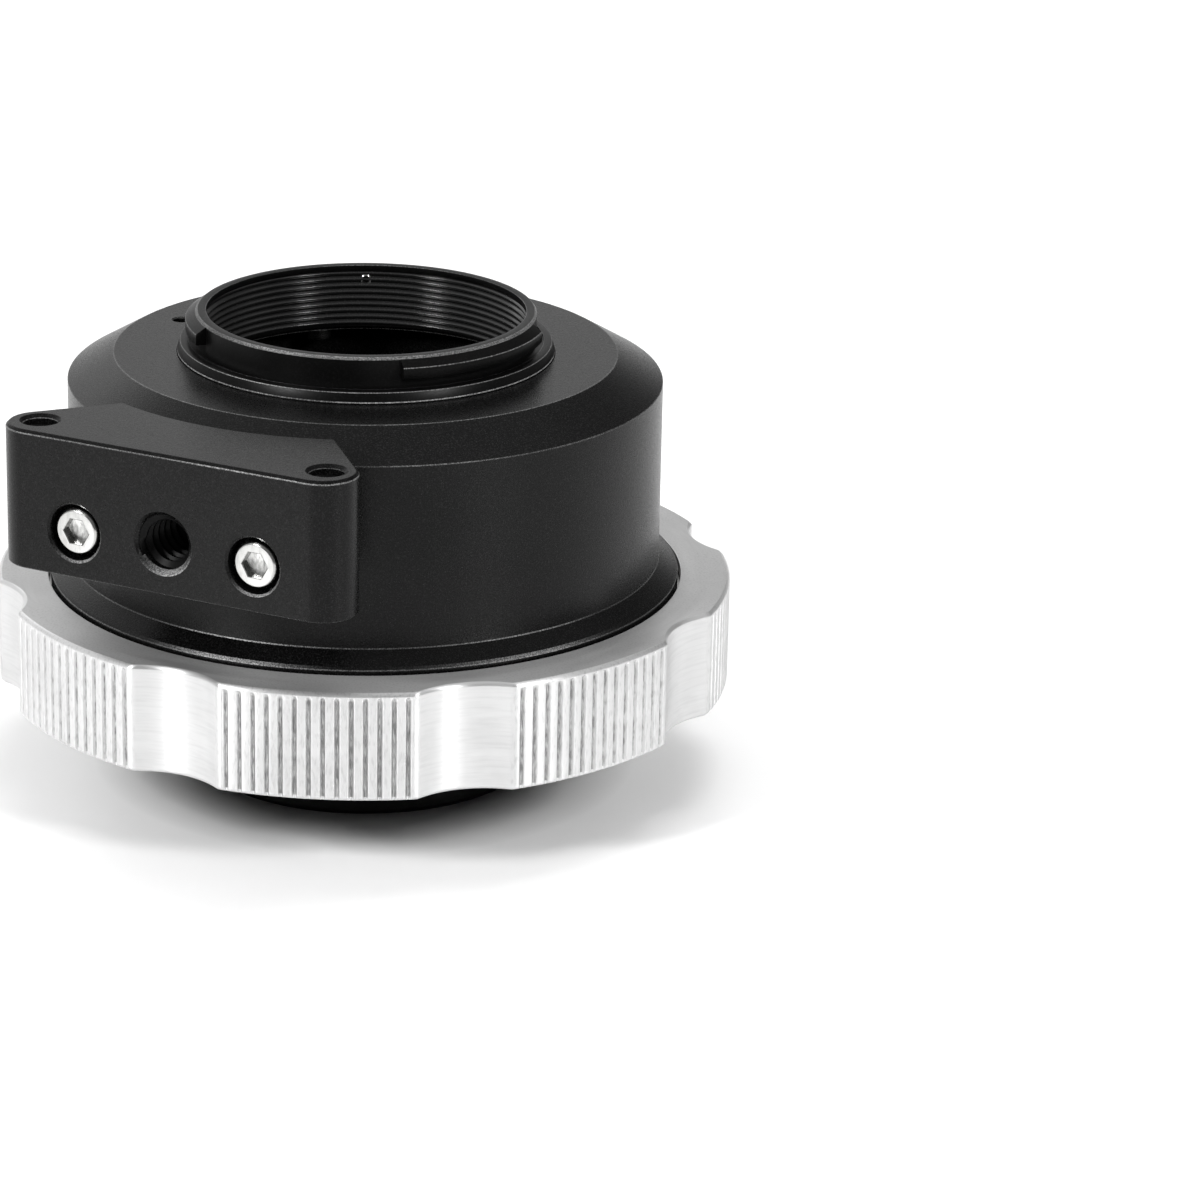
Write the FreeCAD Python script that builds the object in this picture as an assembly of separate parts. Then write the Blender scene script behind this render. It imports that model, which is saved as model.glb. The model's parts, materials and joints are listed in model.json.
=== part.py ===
import FreeCAD, Part

import math
import os

# Lens mount adapter: a cine-lens port with a turning lock ring below, a mirrorless
# bayonet on top and a screwed-on support foot in front. It stands on its port cap.
# Millimetres. +Z points to the camera side, the foot faces -Y, and the origin is the
# centre of the face that it rests on. Angles are counted from the foot's side,
# anticlockwise seen from above.

# Optical register between the lens seat and the camera face
seat_to_camera_face = 32.75

# Lens seat and its shim
port_radius = 27.0
port_lead_chamfer = 0.5
seat_width = 10.7
seat_thickness = 2.0
seat_sleeve_wall = 1.6
seat_sleeve_height = 6.0
shim_thickness = 0.15
shim_width = 7.6
seat_screw_count = 8
seat_screw_offset = 6.0
seat_screw_phase = 22.5

# Clearances between the body and the lock ring, and between seated pieces
running_clearance = 0.34
thrust_clearance = 0.3
seat_gap = 0.05

# Lock ring
ring_wall = 5.96
ring_height = 13.0
ring_edge_chamfer = 0.4
ring_to_camera_face = 27.15
ring_travel = 42.0
ring_phase = -1.0
scallop_count = 8
scallop_depth = 2.0
scallop_cutter_radius = 10.6
knurls_per_land = 14
knurl_width = 0.55
knurl_floor_width = 0.25
knurl_depth = 0.4
knurl_top_margin = 0.9
knurl_side_margin = 1.4
lug_count = 4
lug_angle = 43.0
lug_clear_of_port = 4.2
lug_edge_chamfer = 0.6
lug_gap_step = 0.7
thrust_step = 1.7
lens_flange_room = 4.0

# Body barrel
flange_bevel_width = 2.35
flange_bevel_height = 2.2
flange_top_drop = 0.1
cone_width = 5.46
cone_height = 3.17
web_thickness = 3.4
cavity_room = 2.0
cavity_step = 0.4
lock_pin_hole_radius = 1.1
lock_pin_hole_depth = 2.2
lock_pin_offset = 2.9
lock_pin_angle = -89.4

# Snap ring that keeps the lock ring from dropping off
snap_drop = 1.5
snap_thickness = 0.8
snap_bite = 0.51
snap_width = 1.65
snap_squeeze = 0.56
snap_gap_angle = 9.0
snap_phase = 150.0

# Index pin on the seat and turn stop in the lock ring
index_pin_radius = 1.25
index_pin_offset = 5.6
index_pin_stand = 1.6
index_pin_angle = 180.0
stop_pin_radius = 0.6
stop_pin_inset = 0.5
stop_pin_bite = 1.4
stop_pin_sunk = 2.4
stop_pin_angle = 68.0

# Camera bayonet
throat_radius = 18.95
tube_wall = 1.25
rim_height = 5.0
rim_chamfer = 0.2
spigot_wall = 0.9
spigot_length = 2.1
base_width = 3.45
base_recess = 0.8
base_height = 1.35
base_straight = 0.25
base_taper = 0.35
base_step_width = 1.35
base_step_height = 0.15
base_groove_depth = 0.35
claw_reach = 1.2
claw_bottom = 2.6
claw_top = 3.95
claw_slope_drop = 0.25
claw_starts = (40.0, -99.2, 160.0)
claw_angles = (64.0, 60.0, 64.0)
bayonet_screw_count = 4
bayonet_screw_offset = 2.15
bayonet_screw_phase = 45.0
bayonet_screw_overrun = 0.15
turn_pin_angle = 209.0
turn_pin_radius = 0.7
turn_pin_drop = 1.75
turn_pin_inset = 0.06

# Support foot
foot_depth = 11.51
foot_height = 16.45
foot_above_ring = 10.65
foot_half_width = 22.2
foot_corner_radius = 4.0
foot_flank_angle = 48.0
foot_edge_chamfer = 0.4
tripod_hole_radius = 3.175
tripod_hole_chamfer = 0.5
tripod_hole_depth = 9.5
tripod_hole_height = 6.07
rod_hole_radius = 2.0
rod_hole_chamfer = 0.35
rod_hole_inset = 3.7
rod_hole_set_back = 4.31
foot_screw_half_spacing = 11.55
foot_screw_height = 5.37
foot_counterbore_radius = 3.3
foot_counterbore_chamfer = 0.2
foot_screw_head_inset = 0.4

# Port cap
cap_stand = 11.3
cap_boss_radius = 20.6
cap_wall = 1.8
cap_rim_clearance = 0.3
cap_face_inset = 0.5
cap_face_thickness = 2.0
cap_edge_chamfer = 0.6

# Screws: thread radius, head radius, head height, length, socket width, socket depth
m3_cap_screw = (1.5, 2.75, 3.0, 14.0, 2.5, 1.5)
m16_cap_screw = (0.8, 1.5, 1.2, 4.0, 1.5, 0.7)
m2_flat_screw = (1.0, 1.9, 0.95, 5.0, 1.3, 0.65)
screw_gap = 0.05
screw_hole_overrun = 0.5
head_chamfer_share = 0.08

# Radii at the lens end, outwards from the port
flange_radius = port_radius + seat_width
sleeve_radius = port_radius + seat_sleeve_wall
seat_screw_circle = port_radius + seat_screw_offset
index_pin_circle = port_radius + index_pin_offset
stop_pin_circle = flange_radius - stop_pin_inset
ring_lip_radius = flange_radius + running_clearance
ring_radius = ring_lip_radius + ring_wall
ring_pocket_radius = flange_radius - thrust_step
lug_gap_radius = ring_pocket_radius - lug_gap_step
lug_inner_radius = port_radius + lug_clear_of_port
snap_outer_radius = ring_lip_radius + snap_bite
snap_inner_radius = snap_outer_radius - snap_width
cap_radius = lug_inner_radius - cap_rim_clearance

# Radii of the bayonet, outwards from the throat
tube_radius = throat_radius + tube_wall
spigot_radius = throat_radius + spigot_wall
base_radius = throat_radius + base_width
base_step_radius = base_radius - base_step_width
claw_radius = tube_radius + claw_reach
bayonet_screw_circle = throat_radius + bayonet_screw_offset
lock_pin_circle = base_radius + lock_pin_offset

# Radii of the barrel and the foot
barrel_radius = flange_radius - flange_bevel_width
camera_face_radius = barrel_radius - cone_width
cavity_top_radius = bayonet_screw_circle + cavity_room
cavity_bottom_radius = port_radius - cavity_step
foot_seat_radius = barrel_radius + seat_gap
foot_face_distance = barrel_radius + foot_depth
rod_hole_half_spacing = foot_half_width - rod_hole_inset

# Heights that follow from the register and the stand
ring_bottom_z = cap_stand
ring_top_z = ring_bottom_z + ring_height
camera_face_z = ring_top_z + ring_to_camera_face
seat_z = camera_face_z - seat_to_camera_face
seat_top_z = seat_z + seat_thickness
barrel_bottom_z = seat_top_z + shim_thickness
sleeve_top_z = seat_z + seat_sleeve_height
web_bottom_z = camera_face_z - web_thickness
recess_z = camera_face_z - base_recess
rim_z = camera_face_z + rim_height
thrust_z = seat_z - thrust_clearance
lug_top_z = seat_z - lens_flange_room
snap_top_z = ring_top_z - snap_drop
snap_bottom_z = snap_top_z - snap_thickness
foot_bottom_z = ring_top_z + foot_above_ring
foot_top_z = foot_bottom_z + foot_height
foot_screw_z = foot_bottom_z + foot_screw_height
tripod_hole_z = foot_bottom_z + tripod_hole_height
cap_face_z = ring_bottom_z + cap_face_inset

origin = FreeCAD.Vector(0, 0, 0)
up = FreeCAD.Vector(0, 0, 1)
down = FreeCAD.Vector(0, 0, -1)
front = FreeCAD.Vector(0, -1, 0)
full_turn = 360.0
over = 1.0


def turned(outline, angle=full_turn, start=0.0):
    """Solid of an (r, z) outline revolved about Z, from start through angle."""
    corners = [FreeCAD.Vector(0, -r, z) for r, z in outline]
    face = Part.Face(Part.makePolygon(corners + corners[:1]))
    solid = face.revolve(origin, up, angle)
    return around(solid, start)


def around(shape, angle):
    """Copy of a shape made at the foot's side, turned about Z by angle."""
    copy = shape.copy()
    copy.rotate(origin, up, angle)
    return copy


def pattern(shape, count, phase=0.0):
    """Copies of a shape at even steps about Z."""
    return [around(shape, phase + full_turn * i / count) for i in range(count)]


def at_front(distance, z, side=0.0):
    """Point on the foot's side of the axis, at a distance from it."""
    return FreeCAD.Vector(side, -distance, z)


def hole(radius, depth, mouth, axis):
    """Round cutter sunk from the mouth; axis points out of the hole."""
    return Part.makeCylinder(radius, depth + over, mouth - axis * depth, axis)


def cone_cut(radius, depth, mouth, axis):
    """Cutter that widens a hole's mouth by as much as it is deep."""
    return Part.makeCone(radius, radius + depth + over, depth + over, mouth - axis * depth, axis)


def hexagon(width, depth, mouth, axis):
    """Hexagonal socket cutter sunk from the mouth; axis points out of it."""
    corner = width / math.sqrt(3)
    turns = [math.radians(60 * i) for i in range(6)]
    corners = [FreeCAD.Vector(corner * math.cos(t), corner * math.sin(t), 0) for t in turns]
    prism = Part.Face(Part.makePolygon(corners + corners[:1])).extrude(up * (depth + over))
    turn = FreeCAD.Rotation(up, axis)
    prism.Placement = FreeCAD.Placement(mouth - axis * depth, turn)
    return prism


def screw(size, head_outline, head_top, axis):
    """Screw of revolution with a hexagonal socket; axis points out of its head."""
    thread, head, height, length, width, depth = size
    solid = turned(head_outline)
    solid.Placement = FreeCAD.Placement(head_top, FreeCAD.Rotation(up, axis))
    return solid.cut(hexagon(width, depth, head_top, axis))


def cap_screw(size, head_top, axis):
    """Screw with a round head above its thread; its length is counted under the head."""
    thread, head, height, length, width, depth = size
    bevel = head * head_chamfer_share
    outline = [
        (0, 0), (head - bevel, 0), (head, -bevel), (head, -height),
        (thread, -height), (thread, -height - length), (0, -height - length),
    ]
    return screw(size, outline, head_top, axis)


def flat_screw(size, head_top, axis):
    """Countersunk screw; its length is counted from the top of the head."""
    thread, head, height, length, width, depth = size
    outline = [(0, 0), (head, 0), (thread, -height), (thread, -length), (0, -length)]
    return screw(size, outline, head_top, axis)


def lock_ring():
    """Turning ring: scalloped and knurled outside, four lugs inside at the lens end."""
    c = ring_edge_chamfer
    groove_radius = snap_outer_radius + thrust_clearance
    lug = lug_edge_chamfer
    ring = turned([
        (ring_lip_radius, ring_top_z),
        (ring_radius - c, ring_top_z),
        (ring_radius, ring_top_z - c),
        (ring_radius, ring_bottom_z + c),
        (ring_radius - c, ring_bottom_z),
        (lug_inner_radius + lug, ring_bottom_z),
        (lug_inner_radius, ring_bottom_z + lug),
        (lug_inner_radius, lug_top_z),
        (ring_pocket_radius, lug_top_z),
        (ring_pocket_radius, thrust_z),
        (ring_lip_radius, thrust_z),
        (ring_lip_radius, snap_bottom_z - thrust_clearance),
        (groove_radius, snap_bottom_z - thrust_clearance),
        (groove_radius, snap_top_z + thrust_clearance),
        (ring_lip_radius, snap_top_z + thrust_clearance),
    ])
    stop_hole = hole(stop_pin_radius + seat_gap, stop_pin_sunk, at_front(stop_pin_circle, thrust_z), up)
    cutters = scallops() + knurls() + lug_gaps() + [around(stop_hole, stop_pin_angle)]
    return ring.cut(Part.makeCompound(cutters))


def scallops():
    """Round-bottomed finger grips with the ring's own edge chamfer at both ends."""
    c = ring_edge_chamfer
    r = scallop_cutter_radius
    centre = ring_radius - scallop_depth + r
    cutter = turned([
        (0, ring_bottom_z - over), (r + c + over, ring_bottom_z - over), (r, ring_bottom_z + c),
        (r, ring_top_z - c), (r + c + over, ring_top_z + over), (0, ring_top_z + over),
    ])
    cutter.translate(at_front(centre, 0))
    return pattern(cutter, scallop_count, ring_phase)


def scallop_half_angle():
    """Half the angle that one scallop takes from the ring's outer circle."""
    r = scallop_cutter_radius
    centre = ring_radius - scallop_depth + r
    cosine = (centre**2 + ring_radius**2 - r**2) / (2 * centre * ring_radius)
    return math.degrees(math.acos(cosine))


def knurls():
    """Fine upright grooves on each land between two scallops."""
    floor = ring_radius - knurl_depth
    mouth = ring_radius + knurl_depth
    floor_half = knurl_floor_width / 2
    mouth_half = knurl_width - floor_half
    corners = [
        at_front(floor, ring_bottom_z - over, -floor_half),
        at_front(floor, ring_bottom_z - over, floor_half),
        at_front(mouth, ring_bottom_z - over, mouth_half),
        at_front(mouth, ring_bottom_z - over, -mouth_half),
    ]
    height = ring_height - knurl_top_margin + over
    groove = Part.Face(Part.makePolygon(corners + corners[:1])).extrude(up * height)
    land_pitch = full_turn / scallop_count
    reach = land_pitch / 2 - scallop_half_angle() - knurl_side_margin
    step = 2 * reach / (knurls_per_land - 1)
    grooves = []
    for land in range(scallop_count):
        middle = ring_phase + land_pitch * (land + 0.5)
        grooves += [around(groove, middle - reach + step * i) for i in range(knurls_per_land)]
    return grooves


def lug_gaps():
    """Openings between the lugs that let a lens flange's tabs in."""
    gap_angle = full_turn / lug_count - lug_angle
    gap = turned([
        (lug_inner_radius - over, ring_bottom_z - over), (lug_gap_radius, ring_bottom_z - over),
        (lug_gap_radius, lug_top_z + over), (lug_inner_radius - over, lug_top_z + over),
    ], gap_angle, -gap_angle / 2)
    return pattern(gap, lug_count, ring_phase)


def turn_stop_pin():
    """Pin in the lock ring whose top runs in the lens seat's rim notch."""
    bottom = thrust_z - stop_pin_sunk
    pin = Part.makeCylinder(stop_pin_radius, seat_z + stop_pin_bite - bottom, at_front(stop_pin_circle, bottom), up)
    return around(pin, stop_pin_angle)


def snap_ring():
    """Split flat ring, half in the barrel's groove and half in the lock ring's."""
    outline = [
        (snap_inner_radius, snap_bottom_z), (snap_outer_radius, snap_bottom_z),
        (snap_outer_radius, snap_top_z), (snap_inner_radius, snap_top_z),
    ]
    return turned(outline, full_turn - snap_gap_angle, snap_phase + snap_gap_angle / 2)


def body_barrel():
    """Black body: flange in the lock ring, straight wall, cone and flat camera face."""
    recess_radius = base_radius + seat_gap
    web_bore = spigot_radius + seat_gap
    sleeve_bore = sleeve_radius + seat_gap
    sleeve_stop = sleeve_top_z + seat_gap
    groove_radius = snap_inner_radius - snap_squeeze
    barrel = turned([
        (sleeve_bore, barrel_bottom_z),
        (flange_radius, barrel_bottom_z),
        (flange_radius, snap_bottom_z),
        (groove_radius, snap_bottom_z),
        (groove_radius, snap_top_z),
        (flange_radius, snap_top_z),
        (flange_radius, ring_top_z - flange_top_drop),
        (barrel_radius, ring_top_z + flange_bevel_height),
        (barrel_radius, camera_face_z - cone_height),
        (camera_face_radius, camera_face_z),
        (recess_radius, camera_face_z),
        (recess_radius, recess_z),
        (web_bore, recess_z),
        (web_bore, web_bottom_z),
        (cavity_top_radius, web_bottom_z),
        (cavity_bottom_radius, sleeve_stop),
        (sleeve_bore, sleeve_stop),
    ])
    lock_pin_mouth = at_front(lock_pin_circle, camera_face_z)
    lock_pin_hole = hole(lock_pin_hole_radius, lock_pin_hole_depth, lock_pin_mouth, up)
    cutters = [around(lock_pin_hole, lock_pin_angle)]
    cutters += bayonet_screw_holes() + seat_screw_holes(barrel_bottom_z) + foot_screw_holes()
    return barrel.cut(Part.makeCompound(cutters))


def bayonet_screw_holes():
    """Clearance holes up through the web for the screws that hold the bayonet ring."""
    thread = m16_cap_screw[0]
    length = m16_cap_screw[3]
    mouth = at_front(bayonet_screw_circle, web_bottom_z)
    cutter = hole(thread + screw_gap, length + bayonet_screw_overrun, mouth, down)
    return pattern(cutter, bayonet_screw_count, bayonet_screw_phase)


def bayonet_screws():
    height = m16_cap_screw[2]
    head_top = at_front(bayonet_screw_circle, web_bottom_z - height)
    return pattern(cap_screw(m16_cap_screw, head_top, down), bayonet_screw_count, bayonet_screw_phase)


def seat_screw_holes(mouth_z):
    """Holes for the seat screws, from a face at mouth_z up past the screws' ends."""
    thread = m2_flat_screw[0]
    end_z = seat_z + m2_flat_screw[3] + screw_hole_overrun
    cutter = hole(thread + screw_gap, end_z - mouth_z, at_front(seat_screw_circle, mouth_z), down)
    return pattern(cutter, seat_screw_count, seat_screw_phase)


def seat_screws():
    solid = flat_screw(m2_flat_screw, at_front(seat_screw_circle, seat_z), down)
    return pattern(solid, seat_screw_count, seat_screw_phase)


def lens_seat():
    """Steel seat: flat flange for the lens, port bore and a sleeve up into the barrel."""
    lead = port_lead_chamfer
    seat = turned([
        (port_radius + lead, seat_z),
        (flange_radius, seat_z),
        (flange_radius, seat_top_z),
        (sleeve_radius, seat_top_z),
        (sleeve_radius, sleeve_top_z),
        (port_radius, sleeve_top_z),
        (port_radius, seat_z + lead),
    ])
    thread, head, height = m2_flat_screw[:3]
    tip = at_front(seat_screw_circle, seat_z + height)
    grown_head = head + screw_gap * 2
    sink = Part.makeCone(thread + screw_gap, grown_head, height, tip, down)
    lip = hole(grown_head, 0, at_front(seat_screw_circle, seat_z), down)
    sinks = pattern(sink.fuse(lip), seat_screw_count, seat_screw_phase)
    index_hole = hole(index_pin_radius + seat_gap, seat_thickness + over, at_front(index_pin_circle, seat_z), down)
    cutters = sinks + seat_screw_holes(seat_z) + [around(index_hole, index_pin_angle), stop_notch()]
    return seat.cut(Part.makeCompound(cutters))


def stop_notch():
    """Notch in the seat's rim, as long as the lock ring's travel and the stop pin."""
    inner = stop_pin_circle - stop_pin_radius - thrust_clearance
    pin_half_angle = math.degrees((stop_pin_radius + thrust_clearance) / stop_pin_circle)
    start = stop_pin_angle - pin_half_angle
    return turned([
        (inner, seat_z - over), (flange_radius + over, seat_z - over),
        (flange_radius + over, seat_top_z + over), (inner, seat_top_z + over),
    ], ring_travel + 2 * pin_half_angle, start)


def index_pin():
    """Pin that a lens flange's notch drops over."""
    length = seat_thickness + index_pin_stand
    pin = Part.makeCylinder(index_pin_radius, length, at_front(index_pin_circle, seat_z - index_pin_stand), up)
    return around(pin, index_pin_angle)


def seat_shim():
    """Thin washer that sets the distance between the seat and the camera face."""
    inner = sleeve_radius + seat_gap
    washer = turned([
        (inner, seat_top_z), (inner + shim_width, seat_top_z),
        (inner + shim_width, barrel_bottom_z), (inner, barrel_bottom_z),
    ])
    return washer.cut(Part.makeCompound(seat_screw_holes(seat_top_z - over)))


def bayonet_ring():
    """Camera bayonet: base flange, tube and three claws, turned and milled as one."""
    step_z = camera_face_z + base_height + base_step_height
    groove_z = step_z - base_groove_depth
    ring = turned([
        (throat_radius, recess_z - spigot_length),
        (spigot_radius, recess_z - spigot_length),
        (spigot_radius, recess_z),
        (base_radius, recess_z),
        (base_radius, camera_face_z + base_straight),
        (base_radius - base_taper, camera_face_z + base_height),
        (base_step_radius, step_z),
        (base_step_radius, groove_z),
        (tube_radius, groove_z),
        (tube_radius, rim_z - rim_chamfer),
        (tube_radius - rim_chamfer, rim_z),
        (throat_radius, rim_z),
    ])
    claw_outline = [
        (throat_radius + rim_chamfer, camera_face_z + claw_bottom),
        (claw_radius, camera_face_z + claw_bottom),
        (claw_radius, camera_face_z + claw_top),
        (tube_radius, rim_z - claw_slope_drop),
        (throat_radius + rim_chamfer, rim_z - claw_slope_drop),
    ]
    claws = [turned(claw_outline, angle, start) for start, angle in zip(claw_starts, claw_angles)]
    ring = ring.fuse(claws).removeSplitter()
    pin_hole = hole(turn_pin_radius + seat_gap, claw_radius + over, at_front(claw_radius, turn_pin_z()), front)
    cutters = bayonet_screw_holes() + [around(pin_hole, turn_pin_angle)]
    return ring.cut(Part.makeCompound(cutters))


def turn_pin_z():
    return rim_z - turn_pin_drop


def bayonet_turn_pin():
    """Steel pin pressed across the tube's wall; its inner end shows in the throat."""
    inner = throat_radius + turn_pin_inset
    pin = Part.makeCylinder(turn_pin_radius, claw_radius - inner, at_front(inner, turn_pin_z()), front)
    return around(pin, turn_pin_angle)


def foot_outline():
    """Foot seen from above: flat front, round ears, slanted flanks and a hollow back."""
    flank = math.radians(foot_flank_angle)
    centre_side = foot_half_width - foot_corner_radius
    centre_distance = foot_face_distance - foot_corner_radius
    ear_middle = flank / 2
    tangent_side = centre_side + foot_corner_radius * math.sin(flank)
    tangent_distance = centre_distance - foot_corner_radius * math.cos(flank)
    along = tangent_side * math.cos(flank) + tangent_distance * math.sin(flank)
    excess = tangent_side**2 + tangent_distance**2 - foot_seat_radius**2
    run = along - math.sqrt(along**2 - excess)
    seat_side = tangent_side - run * math.cos(flank)
    seat_distance = tangent_distance - run * math.sin(flank)

    def spot(side, distance):
        return at_front(distance, foot_bottom_z, side)

    def ear(sign):
        middle_side = centre_side + foot_corner_radius * math.cos(ear_middle)
        middle_distance = centre_distance + foot_corner_radius * math.sin(ear_middle)
        return Part.Arc(
            spot(sign * centre_side, foot_face_distance),
            spot(sign * middle_side, middle_distance),
            spot(sign * tangent_side, tangent_distance),
        ).toShape()

    def flank_edge(sign):
        start = spot(sign * tangent_side, tangent_distance)
        return Part.makeLine(start, spot(sign * seat_side, seat_distance))

    face_edge = Part.makeLine(spot(-centre_side, foot_face_distance), spot(centre_side, foot_face_distance))
    back = Part.Arc(
        spot(seat_side, seat_distance), spot(0, foot_seat_radius), spot(-seat_side, seat_distance)
    ).toShape()
    edges = [face_edge, ear(1), flank_edge(1), back, flank_edge(-1), ear(-1)]
    return Part.Wire(Part.__sortEdges__(edges))


def tripod_foot():
    """Support foot with its tripod thread, two rod threads and two counterbores."""
    foot = Part.Face(foot_outline()).extrude(up * foot_height)
    foot = foot.makeChamfer(foot_edge_chamfer, foot_rim_edges(foot))
    tripod_mouth = at_front(foot_face_distance, tripod_hole_z)
    cutters = [
        hole(tripod_hole_radius, tripod_hole_depth, tripod_mouth, front),
        cone_cut(tripod_hole_radius, tripod_hole_chamfer, tripod_mouth, front),
    ]
    for side in (-1, 1):
        cutters += rod_hole(side) + foot_counterbore(side)
    return foot.cut(Part.makeCompound(cutters + foot_screw_holes()))


def foot_rim_edges(foot):
    """Top and bottom edges of the foot, apart from the two on its hollow back."""
    chosen = []
    for edge in foot.Edges:
        level = edge.BoundBox.ZLength < 0.001
        middle = edge.valueAt((edge.FirstParameter + edge.LastParameter) / 2)
        on_back = math.hypot(middle.x, middle.y) < foot_seat_radius + 0.001
        if level and not on_back:
            chosen.append(edge)
    return chosen


def rod_hole(side):
    """Upright threaded hole through one ear, opened at both ends."""
    distance = foot_face_distance - rod_hole_set_back
    top = at_front(distance, foot_top_z, side * rod_hole_half_spacing)
    bottom = at_front(distance, foot_bottom_z, side * rod_hole_half_spacing)
    return [
        hole(rod_hole_radius, foot_height + over, top, up),
        cone_cut(rod_hole_radius, rod_hole_chamfer, top, up),
        cone_cut(rod_hole_radius, rod_hole_chamfer, bottom, down),
    ]


def foot_counterbore(side):
    """Flat-bottomed recess that sinks one screw head just below the foot's face."""
    mouth = at_front(foot_face_distance, foot_screw_z, side * foot_screw_half_spacing)
    depth = foot_screw_head_inset + m3_cap_screw[2]
    return [
        hole(foot_counterbore_radius, depth, mouth, front),
        cone_cut(foot_counterbore_radius, foot_counterbore_chamfer, mouth, front),
    ]


def foot_screw_holes():
    """Holes for the foot's screws, through the foot and into the barrel's wall."""
    thread, head, height, length = m3_cap_screw[:4]
    depth = foot_screw_head_inset + height + length + screw_hole_overrun
    cutters = []
    for side in (-1, 1):
        mouth = at_front(foot_face_distance, foot_screw_z, side * foot_screw_half_spacing)
        cutters.append(hole(thread + screw_gap, depth, mouth, front))
    return cutters


def foot_screw(side):
    distance = foot_face_distance - foot_screw_head_inset
    head_top = at_front(distance, foot_screw_z, side * foot_screw_half_spacing)
    return cap_screw(m3_cap_screw, head_top, front)


def port_cap():
    """Moulded cap: a rim that fills the port between the lugs, and a hollow round boss."""
    rim_inner = cap_radius - cap_wall
    boss_inner = cap_boss_radius - cap_wall
    face_inner_z = cap_face_z + cap_face_thickness
    shell = turned([
        (0, 0), (cap_boss_radius, 0), (cap_boss_radius, cap_face_z), (cap_radius, cap_face_z),
        (cap_radius, seat_z), (rim_inner, seat_z), (rim_inner, face_inner_z),
        (boss_inner, face_inner_z), (boss_inner, cap_face_thickness), (0, cap_face_thickness),
    ])
    rims = [e for e in shell.Edges if is_rim(e, cap_boss_radius, 0) or is_rim(e, cap_radius, cap_face_z)]
    return shell.makeChamfer(cap_edge_chamfer, rims)


def is_rim(edge, radius, z):
    """Whether an edge is the full circle of that radius at that height."""
    box = edge.BoundBox
    level = abs(box.ZMax - z) < 0.001 and box.ZLength < 0.001
    return level and edge.Closed and abs(box.XLength / 2 - radius) < 0.01


def numbered(name, solids):
    return {name + "_" + str(i + 1): solid for i, solid in enumerate(solids)}


def all_parts():
    parts = {
        "port_cap": port_cap(),
        "lock_ring": lock_ring(),
        "turn_stop_pin": turn_stop_pin(),
        "snap_ring": snap_ring(),
        "body_barrel": body_barrel(),
        "lens_seat": lens_seat(),
        "seat_shim": seat_shim(),
        "index_pin": index_pin(),
        "bayonet_ring": bayonet_ring(),
        "bayonet_turn_pin": bayonet_turn_pin(),
        "tripod_foot": tripod_foot(),
        "foot_screw_left": foot_screw(-1),
        "foot_screw_right": foot_screw(1),
    }
    parts.update(numbered("bayonet_screw", bayonet_screws()))
    parts.update(numbered("seat_screw", seat_screws()))
    return parts


os.makedirs("parts", exist_ok=True)
for name, shape in all_parts().items():
    solids = shape.Solids
    single = solids[0] if len(solids) == 1 else Part.makeCompound(solids)
    single.exportStep("parts/" + name + ".step")
    print(name, len(solids), single.isValid(), round(single.Volume, 2))
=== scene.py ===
import json
import math

import bmesh
import bpy
from mathutils import Matrix, Vector


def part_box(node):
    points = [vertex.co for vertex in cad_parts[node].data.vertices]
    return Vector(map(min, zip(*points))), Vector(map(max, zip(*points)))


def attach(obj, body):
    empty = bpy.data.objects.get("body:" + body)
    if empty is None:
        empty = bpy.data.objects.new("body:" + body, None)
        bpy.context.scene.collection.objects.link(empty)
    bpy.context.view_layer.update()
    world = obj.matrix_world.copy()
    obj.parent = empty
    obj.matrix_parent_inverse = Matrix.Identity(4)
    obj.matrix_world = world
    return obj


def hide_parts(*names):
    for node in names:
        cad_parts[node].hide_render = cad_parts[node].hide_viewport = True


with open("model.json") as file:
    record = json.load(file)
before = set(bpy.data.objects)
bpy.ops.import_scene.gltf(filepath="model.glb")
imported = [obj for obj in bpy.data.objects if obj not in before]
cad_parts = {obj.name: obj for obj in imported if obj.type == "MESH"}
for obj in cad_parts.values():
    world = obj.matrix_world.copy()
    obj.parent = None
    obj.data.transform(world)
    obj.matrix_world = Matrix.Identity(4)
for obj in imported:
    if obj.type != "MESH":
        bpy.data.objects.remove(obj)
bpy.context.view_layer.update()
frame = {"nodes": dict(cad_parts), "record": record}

# Shapes are worked out in millimetres and scaled once, when a mesh is made. Angles are
# in degrees from the foot's side of the axis, anticlockwise seen from above.
MM = 0.001
UP = Vector((0, 0, 1))
DOWN = Vector((0, 0, -1))
FRONT = Vector((0, -1, 0))
TURN = 360.0

# Camera: solved from the photograph, in millimetres and degrees
CAMERA_PLACE = (260.9, -475.1, 214.0)
CAMERA_HEADING = -25.77
CAMERA_PITCH = 19.68
CAMERA_ROLL = 1.24
FOCAL_PIXELS = 4751.0
PHOTO_PIXELS = 1200.0
SENSOR = 36.0


def mount(name):
    return next(m for m in frame["record"]["mounts"] if m["name"] == name)


def mount_size(name, key):
    return mount(name)["dims"][key]


def mount_place(name):
    return Vector(mount(name)["pos_m"]) / MM


def low_z(node):
    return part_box(node)[0].z / MM


def high_z(node):
    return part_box(node)[1].z / MM


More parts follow.
